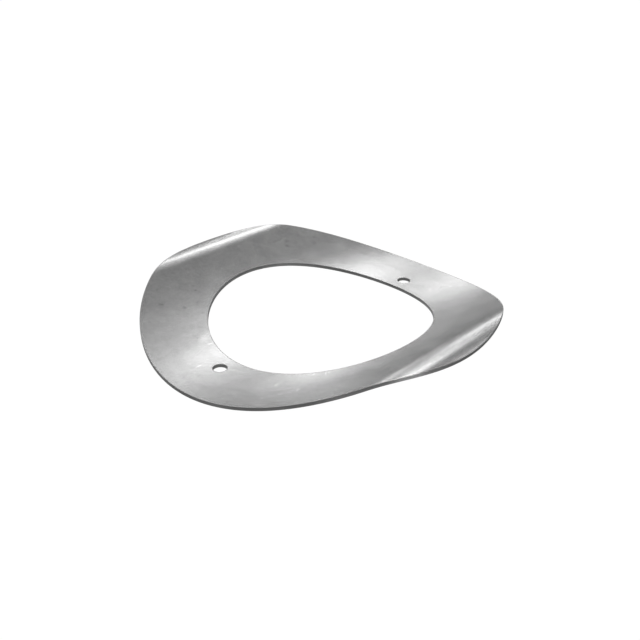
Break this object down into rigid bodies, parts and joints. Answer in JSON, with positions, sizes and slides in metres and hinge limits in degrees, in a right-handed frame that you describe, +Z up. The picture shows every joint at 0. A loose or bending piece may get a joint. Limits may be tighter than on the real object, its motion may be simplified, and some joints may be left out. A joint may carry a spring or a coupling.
{
  "type": "spring washer",
  "caption": "Thin bowed ring of spring steel sheet with a large bore, rolled lips at its raised sides and pin holes on its lowest line, pressed flat under load to keep a joint tight.",
  "frame": {"origin": "under the middle of the bore, on the lowest line of the underside", "axes": "+X along the lowest line of the bow, through both pin holes; +Y across the bow, towards one crest; +Z up"},
  "size_m": [0.08, 0.08, 0.0088],
  "materials": {
    "spring_steel": "bright cold-rolled sheet with a soft satin sheen and plain sheared edges"
  },
  "bodies": {
    "root": {"spring_washer": "spring_steel"}
  },
  "joints": []
}
